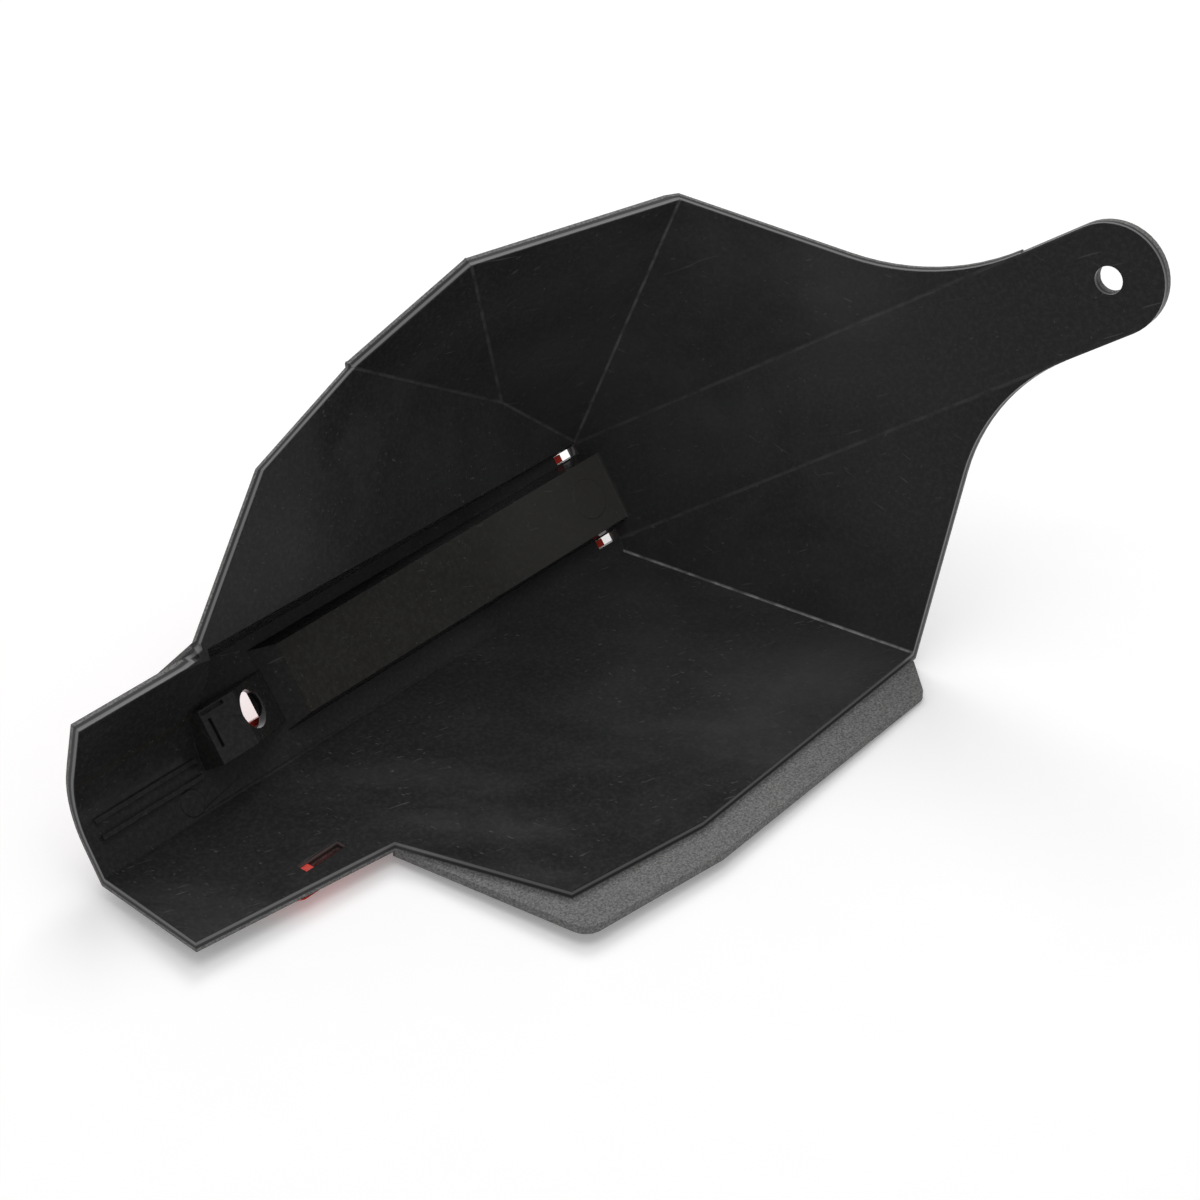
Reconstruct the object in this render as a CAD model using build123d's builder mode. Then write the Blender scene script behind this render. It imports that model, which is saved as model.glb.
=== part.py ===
from build123d import *
from math import cos, radians, sin, tan
import os

# Motorcycle hand guard: a faceted shield moulding with a bent arm, and a coloured trim on its outer side.
# Working frame: X along the spine towards the arm, Y towards the upper edge, Z into the hand's side.
# The origin is where the arm's floor meets the floor of the spine.

# Walls and clearances
wall = 3.0
arm_thickness = 4.0
trim_skin = 2.2
trim_gap = 0.2

# Slopes of the facets, in degrees
bend_angle = 76.2
upper_slope = 22.0
lower_slope = 55.0
brow_slope = 10.0
side_draft = 12.0

# Spine floor: its two creases and its end at the pipe cover
upper_crease = 13.5
lower_crease = -17.0
spine_end = -141.0

# Arm with its eyelet, measured from the bend
arm_half = 13.5
eyelet_reach = 155.0
eyelet_hole = 6.8

# Corners of the rim, each as a place over the spine's floor
hub_corner = (0.0, 14.5, 1.0)
notch = (-142.3, 16.7, 18.4)
shoulder = (-107.9, 46.9)
temple = (-72.0, 57.7)
fold_meet = (-24.1, 32.7)
crown_corner = (-42.5, 66.7)
brow_peak = (8.1, 58.3)
chin_front = (9.0, -65.3)
chin_middle = (-76.4, -67.6)
chin_back = (-114.7, -64.2)
chin_notch = (-126.7, -39.8)

# Where the brow and the cheek run out along the arm
brow_root = 114.5
brow_fillet = 58.0
cheek_root = 114.0
cheek_fillet = 46.0

# Half-round pipe cover: its end, its upper rim and the round between its upper side and its floor
pipe_end = -177.0
pipe_end_lower = (-180.2, -35.2)
pipe_slope = 50.0
pipe_foot = 0.5
pipe_round = 20.0
pipe_rim = 18.4

# Grained lip under the lower rim: along the spine, and up the lower panel
lip_thickness = 2.2
lip_drop = 2.4
lip_side = (9.3, 84.5)
lip_front = (0.1, 94.2)
lip_middle = (-80.0, 97.1)
lip_back = (-120.5, 92.0)
lip_tail = (-126.8, 39.0)
lip_front_round = 3.0
lip_back_round = 5.0

# Raised channel along the spine
channel_height = 5.0
channel_half = 9.0
channel_foot = 10.5
channel_left = -117.0
channel_ramp = 5.0

# Screw block at the channel's left end
block_half = 6.8
block_offset = -1.5
block_foot = (-117.0, 0.8)
block_top = (-131.0, 8.2)
block_end = (-142.0, 8.6)
block_wall = 2.4
screw_hole = 9.5
screw_x = -126.5
screw_y = -1.0
groove_depth = 1.2
groove_width = 0.9
long_groove = (-138.0, 4.4)
long_groove_length = 7.0
short_groove = (-140.0, -1.0)
short_groove_length = 7.2

# Ribs along the pipe cover's floor, and flat marks of the ejector pins
floor_rib_width = 1.2
floor_rib_height = 1.2
floor_rib_ends = (-174.0, -143.5)
floor_rib_places = (-5.0, -9.0)
pin_mark = 3.2
pin_mark_place = (-149.0, -13.1)
channel_pin_mark = 5.2
channel_pin_x = -7.6
pin_mark_height = 0.25

# Clip slots
clip_slot_x = -4.0
clip_slot_y = 12.0
clip_slot_length = 7.5
clip_slot_width = 2.4
wall_slot = (-141.0, -34.8)
wall_slot_length = 12.5
wall_slot_width = 3.0

# Trim on the outer side, as places over the spine's floor
trim_right = -5.2
trim_half = 13.0
trim_saddle = ((-104, -13), (-122, -40.5), (-152, -40.5), (-164, -30), (-164, -10), (-144, -10), (-134, 13))
trim_slot_x = -120.5
trim_slot_length = 15.0
trim_slot_width = 7.2
rib_offset = 5.0
rib_width = 1.8
rib_ends = (-109.0, -12.0)
hook_length = 2.6
hook_gap = 0.25

# Resting pose: the guard lies on its lower panel, turned about X and then about Y
lie_angle = 53.57
lean_angle = 1.24

far = 140.0
spare = 15.0

along = Vector(1, 0, 0)
across = Vector(0, 1, 0)
inside = Vector(-60, 0, 40)
arm_along = Vector(cos(radians(bend_angle)), 0, sin(radians(bend_angle)))
arm_normal = Vector(-sin(radians(bend_angle)), 0, cos(radians(bend_angle)))


def facing_in(first, second, third):
    """Plane through three points, with its normal towards the hand."""
    normal = (second - first).cross(third - first)
    if normal.dot(inside - first) < 0:
        normal = normal * -1
    return Plane(origin=first, x_dir=second - first, z_dir=normal)


def rim_plane(panel, start, end):
    """Plane through a rim edge, square to its panel, with its normal into the guard."""
    inward = (end - start).cross(panel.z_dir)
    if inward.dot(inside - start) < 0:
        inward = inward * -1
    return Plane(origin=start, x_dir=end - start, z_dir=inward)


def height_on(panel, x, y):
    """Point of a panel above a place on the spine's floor."""
    normal = panel.z_dir
    start = panel.origin
    z = start.Z - (normal.X * (x - start.X) + normal.Y * (y - start.Y)) / normal.Z
    return Vector(x, y, z)


def mitre(corner, first, second, outset):
    """Corner of a section moved outwards between two walls with the given normals."""
    move = (first + second) * (outset / (1 + first.dot(second)))
    return corner + move


# Outward normals of the sections: spine side, pipe side, floor and lower panel
draft = radians(side_draft)
slope = radians(lower_slope)
pipe_lean = radians(pipe_slope)
spine_out = Vector(cos(draft), -sin(draft))
pipe_out = Vector(sin(pipe_lean), -cos(pipe_lean))
floor_out = Vector(0, -1)
lower_out = Vector(-sin(slope), -cos(slope))


def lower_ends(outset, top):
    """Lower crease of a section and the end of its lower panel, moved outwards by outset."""
    foot = Vector(lower_crease, 0)
    end = foot + Vector(-cos(slope), sin(slope)) * (top / sin(slope))
    return mitre(foot, floor_out, lower_out, outset), end + lower_out * outset, end


def spine_space(outset, top, lower_top, start):
    """Everything in the spine's section, from a place along it to past the bend."""
    foot = Vector(upper_crease, 0)
    end = foot + Vector(sin(draft), cos(draft)) * (top / cos(draft))
    corner, lower_end, lower_close = lower_ends(outset, lower_top)
    marks = [end + spine_out * outset, mitre(foot, spine_out, floor_out, outset), corner, lower_end]
    if outset > 0:
        marks += [lower_close, end]
    with BuildPart() as body:
        with BuildSketch(Plane.YZ.offset(start)) as section:
            with BuildLine():
                Polyline(*marks, close=True)
            make_face()
        extrude(section.sketch, amount=spare * 2 - start)
    return body.part


def pipe_space(outset, top):
    """Everything in the pipe cover's section, from past its end to the notch."""
    foot = Vector(pipe_foot, 0)
    end = foot + Vector(cos(pipe_lean), sin(pipe_lean)) * (top / sin(pipe_lean))
    corner, lower_end, lower_close = lower_ends(outset, far / 2)
    turn = mitre(foot, pipe_out, floor_out, outset)
    level = Vector(lower_crease + wall, -outset)
    close = [lower_close, end] if outset > 0 else []
    with BuildPart() as body:
        with BuildSketch(Plane.YZ.offset(pipe_end - spare)) as section:
            with BuildLine():
                FilletPolyline(end + pipe_out * outset, turn, level, radius=pipe_round + outset)
                Polyline(level, corner, lower_end, *close, end + pipe_out * outset)
            make_face()
        extrude(section.sketch, amount=chin_notch[0] - pipe_end + spare)
    return body.part


# Panels, each with its normal towards the hand
upper_fold = across * arm_half
lower_fold = across * -arm_half
hub = Vector(*hub_corner)
notch_tip = Vector(*notch)
upper_rise = Vector(0, cos(radians(upper_slope)), sin(radians(upper_slope)))
lower_rise = Vector(0, -cos(slope), sin(slope))
brow_rise = across * cos(radians(brow_slope)) + arm_normal * sin(radians(brow_slope))
arm_floor = Plane(origin=(0, 0, 0), x_dir=arm_along, z_dir=arm_normal)
upper_panel = facing_in(hub, notch_tip, hub + upper_rise)
lower_root = across * lower_crease
lower_panel = facing_in(lower_root, lower_root + along, lower_root + lower_rise)
brow_panel = facing_in(upper_fold, upper_fold + arm_along, upper_fold + brow_rise)
brow_tip = height_on(brow_panel, *brow_peak)
meet = height_on(upper_panel, *fold_meet)
crown_panel = facing_in(upper_fold, brow_tip, meet)
crown_tip = height_on(crown_panel, *crown_corner)
temple_tip = height_on(upper_panel, *temple)
shoulder_tip = height_on(upper_panel, *shoulder)
temple_panel = facing_in(meet, crown_tip, temple_tip)
chin_tip = height_on(lower_panel, *chin_front)
chin_bend = height_on(lower_panel, *chin_middle)
jaw_tip = height_on(lower_panel, *chin_back)
jaw_notch = height_on(lower_panel, *chin_notch)
pipe_low = height_on(lower_panel, *pipe_end_lower)
slot_middle = height_on(lower_panel, *wall_slot)
cheek_panel = facing_in(lower_fold, lower_fold + arm_along, chin_tip)
side_panels = (brow_panel, crown_panel, temple_panel, cheek_panel)
panels = (upper_panel, lower_panel) + side_panels

# The hand's side: the space that the panels and the spine close in
stage = (far * 3, far * 2, far)
with BuildPart() as panel_space:
    Box(*stage, align=(Align.CENTER, Align.CENTER, Align.MIN))
    split(bisect_by=arm_floor, keep=Keep.TOP)
    for panel in panels:
        split(bisect_by=panel, keep=Keep.TOP)
with BuildPart() as hand_space:
    add(spine_space(0, far, spare, spine_end + wall))
    split(bisect_by=arm_floor, keep=Keep.TOP)
    split(bisect_by=brow_panel, keep=Keep.TOP)
    split(bisect_by=cheek_panel, keep=Keep.TOP)
    add(pipe_space(0, far / 2))
    add(panel_space.part)

# Rim edges that bound the whole shield, and those that bound their own panel only, seen from a point on it
outer_edges = (
    (upper_panel, notch_tip, shoulder_tip),
    (brow_panel, brow_tip, upper_fold + arm_along * brow_root),
    (cheek_panel, chin_tip, lower_fold + arm_along * cheek_root),
    (lower_panel, jaw_tip, jaw_notch),
)
panel_edges = (
    (upper_panel, shoulder_tip, temple_tip, meet),
    (temple_panel, temple_tip, crown_tip, meet),
    (crown_panel, crown_tip, brow_tip, upper_fold),
    (lower_panel, jaw_tip, chin_bend, lower_root + along * chin_back[0] / 2),
    (lower_panel, chin_bend, chin_tip, lower_root + along * chin_back[0] / 2),
)

# Faceted shield with square-cut rims
with BuildPart() as shield:
    with Locations((0, 0, -wall)):
        Box(*stage, align=(Align.CENTER, Align.CENTER, Align.MIN))
    split(bisect_by=arm_floor.offset(-arm_thickness), keep=Keep.TOP)
    for panel in panels:
        split(bisect_by=panel.offset(-wall), keep=Keep.TOP)
    for panel, start, end in outer_edges:
        split(bisect_by=rim_plane(panel, start, end), keep=Keep.TOP)
    add(panel_space.part, mode=Mode.SUBTRACT)
    for panel, start, end, apex in panel_edges:
        edge = (end - start).normalized() * far
        far_start = start + (start - apex).normalized() * far - edge
        far_end = end + (end - apex).normalized() * far + edge
        outline = [panel.to_local_coords(point) for point in (start, end, far_end, far_start)]
        with BuildSketch(panel.offset(-wall - 1)):
            with BuildLine():
                Polyline([(point.X, point.Y) for point in outline], close=True)
            make_face()
        extrude(amount=wall + 2, mode=Mode.SUBTRACT)

# Spine: the floor and its two sides, closed by the arm at its right end
with BuildPart() as spine:
    add(spine_space(wall, notch_tip.Z, spare, spine_end))
    split(bisect_by=arm_floor.offset(-arm_thickness), keep=Keep.TOP)
    split(bisect_by=brow_panel.offset(-wall), keep=Keep.TOP)
    split(bisect_by=cheek_panel.offset(-wall), keep=Keep.TOP)

# Pipe cover with its end cut across and its lower rim cut square
end_cut = facing_in(Vector(pipe_end, pipe_foot, 0), Vector(pipe_end, pipe_foot + 1, 1), pipe_low)
with BuildPart() as pipe:
    add(pipe_space(wall, pipe_rim))
    split(bisect_by=end_cut, keep=Keep.TOP)
    split(bisect_by=rim_plane(lower_panel, jaw_notch, pipe_low), keep=Keep.TOP)

# Arm with a full-round tip
with BuildPart() as arm:
    with BuildSketch(arm_floor.offset(-arm_thickness)):
        with Locations(((eyelet_reach - 2) / 2, 0)):
            Rectangle(eyelet_reach + 2, arm_half * 2)
        with Locations((eyelet_reach, 0)):
            Circle(arm_half)
            Circle(eyelet_hole / 2, mode=Mode.SUBTRACT)
    extrude(amount=arm_thickness)

# Webs that round the brow and the cheek into the arm
with BuildPart() as webs:
    for panel, fold, tip, root, radius, side in (
        (brow_panel, upper_fold, brow_tip, brow_root, brow_fillet, 1),
        (cheek_panel, lower_fold, chin_tip, cheek_root, cheek_fillet, -1),
    ):
        bed = Plane(origin=fold, x_dir=arm_along, z_dir=panel.z_dir).offset(-wall)
        far_end = bed.to_local_coords(tip)
        corner = Vector(root, 0)
        fall = (Vector(far_end.X, far_end.Y) - corner).normalized()
        tangent = radius * tan((radians(180) - radians(fall.get_angle(Vector(1, 0)))) / 2)
        on_fold = corner + Vector(tangent, 0)
        on_rim = corner + fall * tangent
        centre = on_fold + Vector(0, radius * side)
        mid = centre + (corner - centre).normalized() * radius
        with BuildSketch(bed):
            with BuildLine():
                ThreePointArc(on_fold, mid, on_rim)
                Polyline(on_rim, (on_rim.X, -side), (on_fold.X, -side), on_fold)
            make_face()
        extrude(amount=wall)

# Lip under the lower rim
lip_plane = Plane(origin=lower_root, x_dir=along, z_dir=lower_panel.z_dir).offset(-lip_drop - lip_thickness)
with BuildPart() as lip:
    with BuildSketch(lip_plane) as lip_outline:
        with BuildLine():
            Polyline(
                (lip_tail[0], -lip_tail[1]),
                (lip_back[0], -lip_back[1]),
                (lip_middle[0], -lip_middle[1]),
                (lip_front[0], -lip_front[1]),
                (lip_side[0], -lip_side[1]),
                (lip_side[0], spare - lip_side[1]),
                (lip_back[0] + spare, spare * 2 - lip_back[1]),
                close=True,
            )
        make_face()
        front_corner = lip_outline.vertices().sort_by_distance((lip_front[0], -lip_front[1]))[0]
        fillet(front_corner, lip_front_round)
        back_corner = lip_outline.vertices().sort_by_distance((lip_back[0], -lip_back[1]))[0]
        fillet(back_corner, lip_back_round)
    extrude(amount=lip_thickness)

# Raised channel and screw block
with BuildPart() as raised:
    with BuildSketch(Plane.YZ.offset(channel_left)):
        with BuildLine():
            Polyline(
                (channel_foot, -wall / 2),
                (channel_foot, 0),
                (channel_half, channel_height),
                (-channel_half, channel_height),
                (-channel_foot, 0),
                (-channel_foot, -wall / 2),
                close=True,
            )
        make_face()
    extrude(amount=spare - channel_left)
    split(bisect_by=arm_floor.offset(-arm_thickness / 2), keep=Keep.TOP)
    ramp = Plane(origin=(channel_left, 0, 0), x_dir=across, z_dir=(channel_height, 0, -channel_ramp))
    split(bisect_by=ramp, keep=Keep.TOP)
    with BuildSketch(Plane.XZ.offset(-block_offset - block_half)):
        with BuildLine():
            Polyline(
                block_foot,
                block_top,
                block_end,
                (block_end[0], -wall),
                (block_foot[0], -wall),
                close=True,
            )
        make_face()
    extrude(amount=block_half * 2)
    with Locations((*long_groove, block_end[1])):
        Box(long_groove_length, groove_width, groove_depth * 2, mode=Mode.SUBTRACT)
    with Locations((*short_groove, block_end[1])):
        Box(groove_width, short_groove_length, groove_depth * 2, mode=Mode.SUBTRACT)

# Hollows under the channel and the block, open to the outer side
channel_inner = channel_height - wall
block_inner = block_half - block_wall
hollow_left = channel_left + channel_ramp + wall / 2
with BuildPart() as hollows:
    with BuildSketch(Plane.YZ.offset(hollow_left)):
        with BuildLine():
            Polyline(
                (channel_foot - wall, -wall * 2),
                (channel_foot - wall, 0),
                (channel_half - wall, channel_inner),
                (wall - channel_half, channel_inner),
                (wall - channel_foot, 0),
                (wall - channel_foot, -wall * 2),
                close=True,
            )
        make_face()
    extrude(amount=-hollow_left - wall)
    with BuildSketch(Plane.XZ.offset(-block_offset - block_inner)):
        with BuildLine():
            Polyline(
                (block_foot[0] - block_wall, block_foot[1] - block_wall),
                (block_top[0], block_top[1] - block_wall),
                (block_end[0] + block_wall, block_end[1] - block_wall),
                (block_end[0] + block_wall, -spare),
                (block_foot[0] - block_wall, -spare),
                close=True,
            )
        make_face()
    extrude(amount=block_inner * 2)

# Low relief on the hand's side
floor_rib_length = floor_rib_ends[1] - floor_rib_ends[0]
floor_rib_middle = (floor_rib_ends[0] + floor_rib_ends[1]) / 2
with BuildPart() as relief:
    with Locations([(floor_rib_middle, place, -wall / 2) for place in floor_rib_places]):
        Box(
            floor_rib_length,
            floor_rib_width,
            wall / 2 + floor_rib_height,
            align=(Align.CENTER, Align.CENTER, Align.MIN),
        )
    with Locations((*pin_mark_place, pin_mark_height - wall / 4)):
        Cylinder(pin_mark, wall / 2)
    with Locations((channel_pin_x, 0, channel_height + pin_mark_height - wall / 4)):
        Cylinder(channel_pin_mark, wall / 2)

# Shell: one moulding
slot_plane = Plane(origin=slot_middle, x_dir=along, z_dir=lower_panel.z_dir)
with BuildPart() as guard_shell:
    add(shield.part)
    add(spine.part)
    add(pipe.part)
    add(hand_space.part, mode=Mode.SUBTRACT)
    add(arm.part)
    add(webs.part)
    add(lip.part)
    add(raised.part)
    add(relief.part)
    add(hollows.part, mode=Mode.SUBTRACT)
    with Locations((screw_x, screw_y, block_top[1])):
        Cylinder(screw_hole / 2, spare, mode=Mode.SUBTRACT)
    with Locations((clip_slot_x, clip_slot_y, 0), (clip_slot_x, -clip_slot_y, 0)):
        Box(clip_slot_length, clip_slot_width, wall * 3, mode=Mode.SUBTRACT)
    with Locations(slot_plane):
        Box(wall_slot_length, wall_slot_width, spare, mode=Mode.SUBTRACT)

# Trim: a skin over the spine and the pipe cover's lower side, with ribs and hooks
trim_inner = wall + trim_gap
trim_outer = trim_inner + trim_skin
hook_x = clip_slot_x - clip_slot_length / 2 + hook_gap + hook_length / 2
hook_width = clip_slot_width - 2 * hook_gap
hook_height = trim_outer - wall / 4
rib_height = trim_inner + channel_inner - hook_gap
rib_length = rib_ends[1] - rib_ends[0]
rib_middle = (rib_ends[0] + rib_ends[1]) / 2
wall_hook_x = (hook_length - wall_slot_length) / 2 + hook_gap
upright = (Align.CENTER, Align.CENTER, Align.MIN)
with BuildPart() as accent_trim:
    add(spine_space(trim_outer, notch_tip.Z, far / 2, pipe_end))
    add(spine_space(trim_inner, far, far, pipe_end), mode=Mode.SUBTRACT)
    with BuildSketch(Plane.XY.offset(-spare)):
        with BuildLine():
            Polyline((trim_right, trim_half), (trim_right, -trim_half), *trim_saddle, close=True)
        make_face()
    extrude(amount=spare * 4, mode=Mode.INTERSECT)
    with Locations((rib_middle, rib_offset, -trim_inner), (rib_middle, -rib_offset, -trim_inner)):
        Box(rib_length, rib_width, rib_height, align=upright)
    with Locations((hook_x, clip_slot_y, -trim_outer), (hook_x, -clip_slot_y, -trim_outer)):
        Box(hook_length, hook_width, hook_height, align=upright)
    with Locations(slot_plane):
        with Locations((wall_hook_x, 0, -trim_outer)):
            Box(hook_length, wall_slot_width - 2 * hook_gap, hook_height, align=upright)
    with Locations((trim_slot_x, screw_y, -trim_outer)):
        Box(trim_slot_length, trim_slot_width, spare, mode=Mode.SUBTRACT)

# Both pieces laid down, centred over the origin with the lowest point on the floor
rest = Location((0, 0, 0), (0, lean_angle, 0)) * Location((0, 0, 0), (lie_angle, 0, 0))
with BuildPart() as laid:
    with Locations(rest):
        add((guard_shell.part, accent_trim.part))
box = laid.part.bounding_box()
lift = Location((-box.center().X, -box.center().Y, -box.min.Z))
with BuildPart() as shell_piece:
    with Locations(lift * rest):
        add(guard_shell.part)
with BuildPart() as trim_piece:
    with Locations(lift * rest):
        add(accent_trim.part)

os.makedirs("parts", exist_ok=True)
shell_piece.part.label = "guard_shell"
export_step(shell_piece.part, "parts/guard_shell.step")
trim_piece.part.label = "accent_trim"
export_step(trim_piece.part, "parts/accent_trim.step")
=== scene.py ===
import math

import bpy
from mathutils import Euler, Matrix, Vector

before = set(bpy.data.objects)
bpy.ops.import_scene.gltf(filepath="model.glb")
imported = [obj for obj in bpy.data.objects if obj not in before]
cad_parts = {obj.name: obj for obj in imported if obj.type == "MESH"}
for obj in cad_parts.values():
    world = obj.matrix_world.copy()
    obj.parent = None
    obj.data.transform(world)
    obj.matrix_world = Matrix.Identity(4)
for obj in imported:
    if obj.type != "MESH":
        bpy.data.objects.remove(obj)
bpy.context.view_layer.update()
scene = bpy.context.scene
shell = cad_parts["guard_shell"]
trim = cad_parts["accent_trim"]

# Resting pose of the guard, as turns about X and then Y, and the place of the spine's corner at the bend
lie_angle = math.radians(53.57)
lean_angle = math.radians(1.24)
spine_corner = Vector((0.067187, 0.059264, 0.016795))

# Slopes of the hand's side in degrees, and its corners in the guard's own frame, in metres
bend_angle = 76.2
lower_angle = 55.0
draft_angle = 12.0
pipe_angle = 50.0
x_way = Vector((1, 0, 0))
y_way = Vector((0, 1, 0))
hand = Vector((-0.06, 0, 0.04))
upper_fold = Vector((0, 0.0135, 0))
lower_fold = Vector((0, -0.0135, 0))
lower_root = Vector((0, -0.017, 0))
pipe_foot = Vector((0, 0.0005, 0))
pipe_round = 0.020
hub = Vector((0, 0.0145, 0.001))
notch = Vector((-0.1423, 0.0167, 0.0184))
meet = Vector((-0.0241, 0.0327, 0.01115))
brow_tip = Vector((0.0081, 0.0583, 0.06609))
crown_tip = Vector((-0.0425, 0.0667, 0.04602))
temple_tip = Vector((-0.0720, 0.0577, 0.02681))
chin_tip = Vector((0.0090, -0.0653, 0.06898))


def slope(degrees):
    """Sine and cosine of an angle."""
    return math.sin(math.radians(degrees)), math.cos(math.radians(degrees))


def facing_in(first, second, third):
    """Plane through three points as its direction towards the hand and its distance, in the guard's frame."""
    towards = (second - first).cross(third - first).normalized()
    if towards.dot(hand - first) < 0:
        towards = -towards
    return towards, towards.dot(first)


bend_sin, bend_cos = slope(bend_angle)
lower_sin, lower_cos = slope(lower_angle)
draft_sin, draft_cos = slope(draft_angle)
pipe_sin, pipe_cos = slope(pipe_angle)
arm_along = Vector((bend_cos, 0, bend_sin))
lower_up = Vector((0, -lower_cos, lower_sin))
spine_up = Vector((0, draft_sin, draft_cos))
pipe_up = Vector((0, pipe_cos, pipe_sin))
facets = {
    "upper": facing_in(hub, notch, meet),
    "lower": facing_in(lower_root, lower_root + x_way, lower_root + lower_up),
    "arm": (Vector((-bend_sin, 0, bend_cos)), 0.0),
    "brow": facing_in(upper_fold, upper_fold + arm_along, brow_tip),
    "crown": facing_in(upper_fold, brow_tip, meet),
    "temple": facing_in(meet, crown_tip, temple_tip),
    "cheek": facing_in(lower_fold, lower_fold + arm_along, chin_tip),
}
floor_facet = (Vector((0, 0, 1)), 0.0)
spine_side = facing_in(upper_fold, upper_fold + x_way, upper_fold + spine_up)
pipe_side = facing_in(pipe_foot, pipe_foot + x_way, pipe_foot + pipe_up)
round_centre = Vector((0, pipe_foot.y - pipe_round * (1 - pipe_cos) / pipe_sin, pipe_round))


def node(tree, kind, inputs=None, **settings):
    """New node with its settings, and its sockets set or linked."""
    made = tree.nodes.new(kind)
    for name, value in settings.items():
        setattr(made, name, value)
    for name, value in (inputs or {}).items():
        if isinstance(value, bpy.types.NodeSocket):
            tree.links.new(value, made.inputs[name])
        else:
            made.inputs[name].default_value = value
    return made


def maths(tree, operation, *values):
    """Result of one operation on two or more values, taken in turn."""
    result = values[0]
    for value in values[1:]:
        inputs = {0: result, 1: value}
        result = node(tree, "ShaderNodeMath", inputs, operation=operation).outputs[0]
    return result


def spread(tree, value, low, high, start=0.0, end=1.0):
    """Value moved smoothly from one range to another."""
    inputs = {"Value": value, "From Min": low, "From Max": high, "To Min": start, "To Max": end}
    return node(tree, "ShaderNodeMapRange", inputs, interpolation_type="SMOOTHSTEP").outputs["Result"]


def band(tree, value, rise, fall):
    """One between a rise and a fall, each given as a range, and none outside them."""
    return maths(tree, "MULTIPLY", spread(tree, value, *rise), spread(tree, value, *fall, 1.0, 0.0))


def noise(tree, where, scale, detail=2.0, roughness=0.5, distortion=0.0):
    """Cloudy noise between 0 and 1."""
    inputs = {
        "Vector": where,
        "Scale": scale,
        "Detail": detail,
        "Roughness": roughness,
        "Distortion": distortion,
    }
    return node(tree, "ShaderNodeTexNoise", inputs).outputs["Fac"]


def blend(tree, amount, first, second):
    """Colour between two colours."""
    inputs = {0: amount, 6: first, 7: second}
    return node(tree, "ShaderNodeMix", inputs, data_type="RGBA").outputs[2]


def mix_values(tree, amount, first, second):
    """Number between two numbers."""
    return node(tree, "ShaderNodeMix", {0: amount, 2: first, 3: second}).outputs[0]


def vector_maths(tree, operation, first, second):
    """Outputs of an operation on two vectors."""
    return node(tree, "ShaderNodeVectorMath", {0: first, 1: second}, operation=operation).outputs


def new_material(name):
    """Node material with its tree and its principled shader."""
    material = bpy.data.materials.new(name)
    material.use_nodes = True
    return material, material.node_tree, material.node_tree.nodes["Principled BSDF"]


def guard_place(tree):
    """Coordinates of the guard's own frame, in metres."""
    where = node(tree, "ShaderNodeTexCoord").outputs["Object"]
    inputs = {"Vector": where, "Location": spine_corner, "Rotation": (lie_angle, lean_angle, 0)}
    return node(tree, "ShaderNodeMapping", inputs, vector_type="TEXTURE").outputs["Vector"]


def stretched(tree, where, turn, stretch):
    """Coordinates turned and then squeezed along one way, for long thin marks."""
    turned = node(tree, "ShaderNodeMapping", {"Vector": where, "Rotation": turn}).outputs["Vector"]
    return node(tree, "ShaderNodeMapping", {"Vector": turned, "Scale": stretch}).outputs["Vector"]


def scratches(tree, where, turn, density, cut):
    """Short fine lines that run one way."""
    length_ratio = 0.05
    fade = 0.06
    stretch = (density * length_ratio, density, density)
    lines = noise(tree, stretched(tree, where, turn, stretch), 1.0, 1.0)
    return spread(tree, lines, cut, cut + fade)


def soft_spot(tree, where, centre, radius, strength):
    """Round patch that fades out at its radius."""
    away = vector_maths(tree, "DISTANCE", where, centre)["Value"]
    return maths(tree, "MULTIPLY", spread(tree, away, 0.0, radius, 1.0, 0.0), strength)


def above(tree, where, facet):
    """Distance of a point from a facet, positive on the hand's side."""
    towards, distance = facet
    return maths(tree, "SUBTRACT", vector_maths(tree, "DOT_PRODUCT", where, towards)["Value"], distance)


# Black moulding: polished on the hand's side and on the rims, fine grain on the outer side and on the lip
black, tree, shader = new_material("black_plastic")
where = guard_place(tree)

# Sizes of the patterns, in repeats per metre
film_scale = 26.0
patch_scale = 40.0
ripple_scale = 60.0
fleck_scale = 230.0
break_scale = 260.0
mottle_scale = 900.0
grain_scale = 1900.0

# Depths below the hand's side between which a finish fades in or out, in metres
polish_depth = (-0.0022, -0.0018)
rim_depth = (-0.0007, -0.0003)
# depths of the painted highlight along the inner edge of the rims
rim_highlight_foot = (-0.0013, -0.0009)
rim_highlight_top = (-0.0004, -0.0001)

# Depth below the hand's side: panels, spine, and pipe cover with the round at its foot
heights = {name: above(tree, where, facet) for name, facet in facets.items()}
floor_height = above(tree, where, floor_facet)
over_panels = maths(tree, "MINIMUM", *heights.values())
front_panels = [heights["arm"], heights["cheek"], heights["brow"]]
past_notch = above(tree, where, (x_way, notch.x))
spine_height = above(tree, where, spine_side)
in_spine = maths(tree, "MINIMUM", floor_height, heights["lower"], spine_height, past_notch, *front_panels)
pipe_height = above(tree, where, pipe_side)
in_pipe = maths(tree, "MINIMUM", floor_height, heights["lower"], pipe_height, *front_panels)
across = vector_maths(tree, "MULTIPLY", where, (0, 1, 1))["Vector"]
from_centre = vector_maths(tree, "DISTANCE", across, round_centre)["Value"]
in_round = maths(tree, "MINIMUM", in_pipe, maths(tree, "SUBTRACT", pipe_round, from_centre))
past_floor = maths(tree, "GREATER_THAN", above(tree, where, (y_way, round_centre.y)), 0.0)
before_side = maths(tree, "LESS_THAN", above(tree, where, (pipe_up, pipe_up.dot(round_centre))), 0.0)
in_pipe = mix_values(tree, maths(tree, "MULTIPLY", past_floor, before_side), in_pipe, in_round)
inner = maths(tree, "MAXIMUM", over_panels, in_spine, in_pipe)
polished = spread(tree, inner, *polish_depth)
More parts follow.
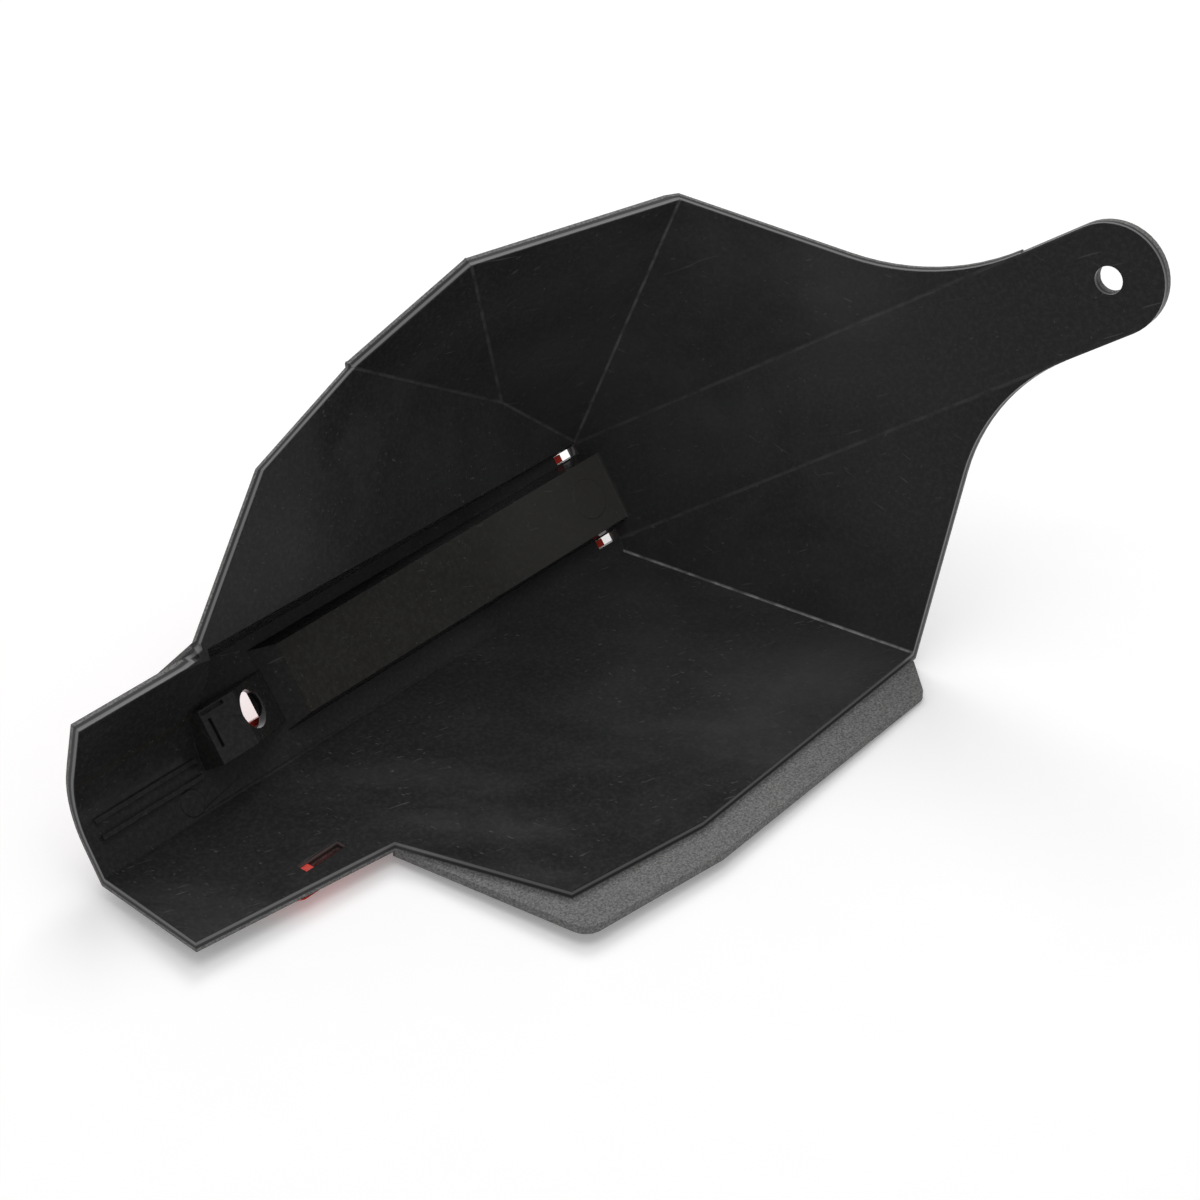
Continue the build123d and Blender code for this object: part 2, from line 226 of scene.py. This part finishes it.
rim_face = spread(tree, inner, *rim_depth, 1.0, 0.0)
# Painted highlight: a pale line along the inner edge of the rims
painted_rim_highlight = band(tree, inner, rim_highlight_foot, rim_highlight_top)

# Pale lines along the folds: two facets and a strength
fold_strengths = (
    ("brow", "arm", 0.10),
    ("cheek", "arm", 0.10),
    ("brow", "crown", 0.28),
    ("crown", "temple", 0.14),
    ("temple", "upper", 0.12),
    ("crown", "upper", 0.16),
    ("lower", "cheek", 1.0),
)
fold_core = 0.0002
fold_reach = 0.0006
fold_lines = []
for first, second, strength in fold_strengths:
    turn = facets[first][0].cross(facets[second][0]).length
    reach = maths(tree, "MAXIMUM", heights[first], heights[second])
    fold_lines.append(spread(tree, reach, fold_core * turn, fold_reach * turn, strength, 0.0))
broken = spread(tree, noise(tree, where, break_scale, 3.0), 0.3, 0.62, 0.25, 1.0)
pale_folds = maths(tree, "MULTIPLY", maths(tree, "MAXIMUM", *fold_lines), broken)

# Film, smears, scratches in four directions, and specks
film = noise(tree, where, film_scale, 5.0, 0.62, 0.5)
smear_turn = (0.2, 0.9, 0.4)
smear_stretch = (9, 45, 45)
smear_place = stretched(tree, where, smear_turn, smear_stretch)
smears = spread(tree, noise(tree, smear_place, 1.0, 4.0, 0.6), 0.46, 0.74)
scratch_sets = (
    ((0.3, 0.1, 0.35), 1100.0, 0.72),
    ((0.1, 1.25, 0.2), 1000.0, 0.73),
    ((0.6, 0.2, 1.45), 1200.0, 0.73),
    ((-0.8, 0.7, -0.6), 900.0, 0.74),
)
scuffs = maths(tree, "MAXIMUM", *[scratches(tree, where, *values) for values in scratch_sets])
patchy = spread(tree, noise(tree, where, patch_scale, 3.0), 0.40, 0.62, 0.15, 1.0)
scuffs = maths(tree, "MULTIPLY", scuffs, patchy)
flecks = node(tree, "ShaderNodeTexVoronoi", {"Vector": where, "Scale": fleck_scale}).outputs["Distance"]
dots = spread(tree, flecks, 0.035, 0.07, 1.0, 0.0)
specks = maths(tree, "MULTIPLY", dots, spread(tree, film, 0.45, 0.6))
marks = maths(tree, "MAXIMUM", scuffs, specks)
mottle = noise(tree, where, mottle_scale, 2.0, 0.7)

# Pale patches of painted reflection and painted light on the lower panel, the brow and round the hub: centre,
# radius and strength
painted_light_spots = (
    ((-0.0180, -0.0580, 0.0590), 0.055, 1.0),
    ((-0.0426, -0.0404, 0.0334), 0.036, 0.5),
    ((0.0195, 0.0260, 0.0869), 0.032, 1.0),
    ((0.0040, 0.0100, 0.0300), 0.110, 0.8),
)
painted_light = maths(tree, "MAXIMUM", *[soft_spot(tree, where, *values) for values in painted_light_spots])
painted_light = maths(tree, "MULTIPLY", painted_light, spread(tree, film, 0.25, 0.75, 0.45, 1.0))

# Strip on top of the channel, slightly browner than the rest and lighter towards its end with a painted
# highlight: its height, half its width and where the painted highlight fades in
strip_foot = (0.0042, 0.0047)
strip_top = (0.0056, 0.0060)
strip_half = (0.0088, 0.0094)
strip_highlight_span = (-0.060, -0.018)
axes = node(tree, "ShaderNodeSeparateXYZ", {"Vector": where}).outputs
off_line = node(tree, "ShaderNodeMath", {0: axes["Y"]}, operation="ABSOLUTE").outputs[0]
strip_height = band(tree, axes["Z"], strip_foot, strip_top)
strip = maths(tree, "MULTIPLY", strip_height, spread(tree, off_line, *strip_half, 1.0, 0.0))
painted_strip_highlight = spread(tree, axes["X"], *strip_highlight_span)

# Colour of the polish in layers: where each lies, its strength and its colour
gloss_dark = (0.013, 0.013, 0.0133, 1)
gloss_light = (0.021, 0.021, 0.0214, 1)
strip_dark = (0.018, 0.0172, 0.0145, 1)
# colour of the painted highlight at the strip's end
strip_highlight_colour = (0.044, 0.042, 0.037, 1)
# colour of the painted reflection and light patches
painted_light_colour = (0.060, 0.061, 0.062, 1)
smear_colour = (0.052, 0.053, 0.055, 1)
mottle_colour = (0.075, 0.075, 0.075, 1)
mark_colour = (0.17, 0.17, 0.172, 1)
fold_colour = (0.26, 0.26, 0.265, 1)
rim_colour = (0.040, 0.040, 0.040, 1)
# colour of the painted highlight along the rims
rim_highlight_colour = (0.20, 0.20, 0.20, 1)
gloss_colour = blend(tree, film, gloss_dark, gloss_light)
layers = (
    # strip, lighter towards its end with a painted highlight
    (strip, 1.0, blend(tree, painted_strip_highlight, strip_dark, strip_highlight_colour)),
    # painted reflection and light patches
    (painted_light, 0.75, painted_light_colour),
    (smears, 0.20, smear_colour),
    (spread(tree, mottle, 0.35, 0.75), 0.18, mottle_colour),
    (marks, 0.22, mark_colour),
    (pale_folds, 1.0, fold_colour),
    (rim_face, 1.0, rim_colour),
    # painted highlight along the rims
    (painted_rim_highlight, 0.8, rim_highlight_colour),
)
for place, strength, colour in layers:
    gloss_colour = blend(tree, maths(tree, "MULTIPLY", place, strength), gloss_colour, colour)

# Grain, roughness and bump
grain = noise(tree, where, grain_scale, 3.0, 0.7)
grain_dark = (0.085, 0.084, 0.083, 1)
grain_light = (0.24, 0.238, 0.235, 1)
grain_rough = 0.58
grain_colour = blend(tree, spread(tree, grain, 0.3, 0.7), grain_dark, grain_light)
tree.links.new(blend(tree, polished, grain_colour, gloss_colour), shader.inputs["Base Color"])
film_rough = spread(tree, film, 0.3, 0.7, 0.14, 0.24)
smear_rough = maths(tree, "MULTIPLY", smears, 0.14)
worn_rough = maths(tree, "MULTIPLY", maths(tree, "MAXIMUM", marks, pale_folds, rim_face), 0.25)
gloss_rough = maths(tree, "ADD", film_rough, smear_rough, worn_rough)
tree.links.new(mix_values(tree, polished, grain_rough, gloss_rough), shader.inputs["Roughness"])
shader.inputs["Specular IOR Level"].default_value = 0.11
ripple = maths(tree, "MULTIPLY", noise(tree, where, ripple_scale, 2.0), 0.25)
height = mix_values(tree, polished, grain, ripple)
bump = node(tree, "ShaderNodeBump", {"Height": height, "Strength": 0.35, "Distance": 0.0003})
tree.links.new(bump.outputs["Normal"], shader.inputs["Normal"])
shell.data.materials.clear()
shell.data.materials.append(black)

# Red trim: smooth moulding with a faint flow pattern
red, tree, shader = new_material("red_plastic")
where = guard_place(tree)
red_dark = (0.54, 0.030, 0.017, 1)
red_light = (0.64, 0.048, 0.027, 1)
flow_stretch = (18, 60, 60)
fine_scale = 900.0
flow = noise(tree, stretched(tree, where, (0, 0, 0), flow_stretch), 1.0, 3.0, 0.55, 0.4)
red_colour = blend(tree, spread(tree, flow, 0.3, 0.7), red_dark, red_light)
tree.links.new(red_colour, shader.inputs["Base Color"])
fine = noise(tree, where, fine_scale, 2.0)
tree.links.new(spread(tree, fine, 0.3, 0.7, 0.26, 0.38), shader.inputs["Roughness"])
bump = node(tree, "ShaderNodeBump", {"Height": fine, "Strength": 0.12, "Distance": 0.0002})
tree.links.new(bump.outputs["Normal"], shader.inputs["Normal"])
shader.inputs["Subsurface Weight"].default_value = 0.25
shader.inputs["Subsurface Radius"].default_value = (0.004, 0.0008, 0.0005)
trim.data.materials.clear()
trim.data.materials.append(red)

# Shading of the edges: curved faces stay smooth, and faces that turn by more than a small angle don't blend
smooth_angle = math.radians(8)
shading = bpy.data.node_groups.new("edge_shading", "GeometryNodeTree")
shading.interface.new_socket("Geometry", in_out="INPUT", socket_type="NodeSocketGeometry")
shading.interface.new_socket("Geometry", in_out="OUTPUT", socket_type="NodeSocketGeometry")
edge_turn = node(shading, "GeometryNodeInputMeshEdgeAngle").outputs["Unsigned Angle"]
curved = node(shading, "GeometryNodeInputShadeSmooth").outputs["Smooth"]
normal_inputs = {
    "Mesh": node(shading, "NodeGroupInput").outputs["Geometry"],
    "Remove Custom": True,
    "Edge Sharpness": maths(shading, "GREATER_THAN", edge_turn, smooth_angle),
    "Face Sharpness": maths(shading, "SUBTRACT", 1.0, curved),
}
shaded = node(shading, "GeometryNodeSetMeshNormal", normal_inputs, mode="SHARPNESS").outputs["Mesh"]
node(shading, "NodeGroupOutput", {"Geometry": shaded})

# Moulded edges are slightly rounded, once the corners that the faces share are joined
join_distance = 0.000002
edge_radius = 0.00015
edge_angle = math.radians(40)
for piece in (shell, trim):
    joined = piece.modifiers.new("edge_join", "WELD")
    joined.merge_threshold = join_distance
    rounding = piece.modifiers.new("edge_round", "BEVEL")
    rounding.width = edge_radius
    rounding.segments = 2
    rounding.limit_method = "ANGLE"
    rounding.angle_limit = edge_angle
    rounding.use_clamp_overlap = False
    smoothing = piece.modifiers.new("edge_shading", "NODES")
    smoothing.node_group = shading

# White table, with some light of its own for the camera and for reflections
table_size = 8
table_dark = (0.90, 0.90, 0.90, 1)
table_light = (0.92, 0.92, 0.92, 1)
table_glow = 0.20
speckle_scale = 40.0
bpy.ops.mesh.primitive_plane_add(size=table_size)
floor = bpy.context.object
floor.name = "floor"
white, tree, shader = new_material("white_table")
speckle = noise(tree, node(tree, "ShaderNodeTexCoord").outputs["Object"], speckle_scale)
tree.links.new(blend(tree, speckle, table_dark, table_light), shader.inputs["Base Color"])
shader.inputs["Roughness"].default_value = 0.7
shader.inputs["Specular IOR Level"].default_value = 0.2
rays = node(tree, "ShaderNodeLightPath").outputs
seen = maths(
    tree,
    "MAXIMUM",
    rays["Is Camera Ray"],
    rays["Is Glossy Ray"],
    rays["Is Transmission Ray"],
)
shader.inputs["Emission Color"].default_value = (1, 1, 1, 1)
tree.links.new(maths(tree, "MULTIPLY", seen, table_glow), shader.inputs["Emission Strength"])
floor.data.materials.append(white)

# Camera at the photo's viewing angle
camera_place = (-0.4523, -0.3961, 0.4652)
camera_turn = (55.075, 0.414, -49.103)
lens = bpy.data.cameras.new("camera")
lens.lens = 96.5
lens.sensor_width = 36.0
camera = bpy.data.objects.new("camera", lens)
camera.location = camera_place
camera.rotation_euler = Euler([math.radians(angle) for angle in camera_turn])
scene.collection.objects.link(camera)
scene.camera = camera

# Lights: pale surroundings and two soft boxes
world_strength = 0.45
light_aim = Vector((0, 0, 0.03))
world = bpy.data.worlds.new("studio")
world.use_nodes = True
background = world.node_tree.nodes["Background"]
background.inputs["Color"].default_value = (1, 1, 1, 1)
background.inputs["Strength"].default_value = world_strength
scene.world = world


def soft_box(name, place, size, power):
    """Square area light that faces the guard."""
    light = bpy.data.lights.new(name, "AREA")
    light.size = size
    light.energy = power
    lamp = bpy.data.objects.new(name, light)
    lamp.location = place
    lamp.rotation_euler = (light_aim - Vector(place)).to_track_quat("-Z", "Y").to_euler()
    scene.collection.objects.link(lamp)


soft_box("key", (0.45, 0.40, 0.95), 0.5, 3.5)
soft_box("top", (-0.1, -0.1, 1.2), 1.0, 4.5)

scene.view_settings.view_transform = "Standard"
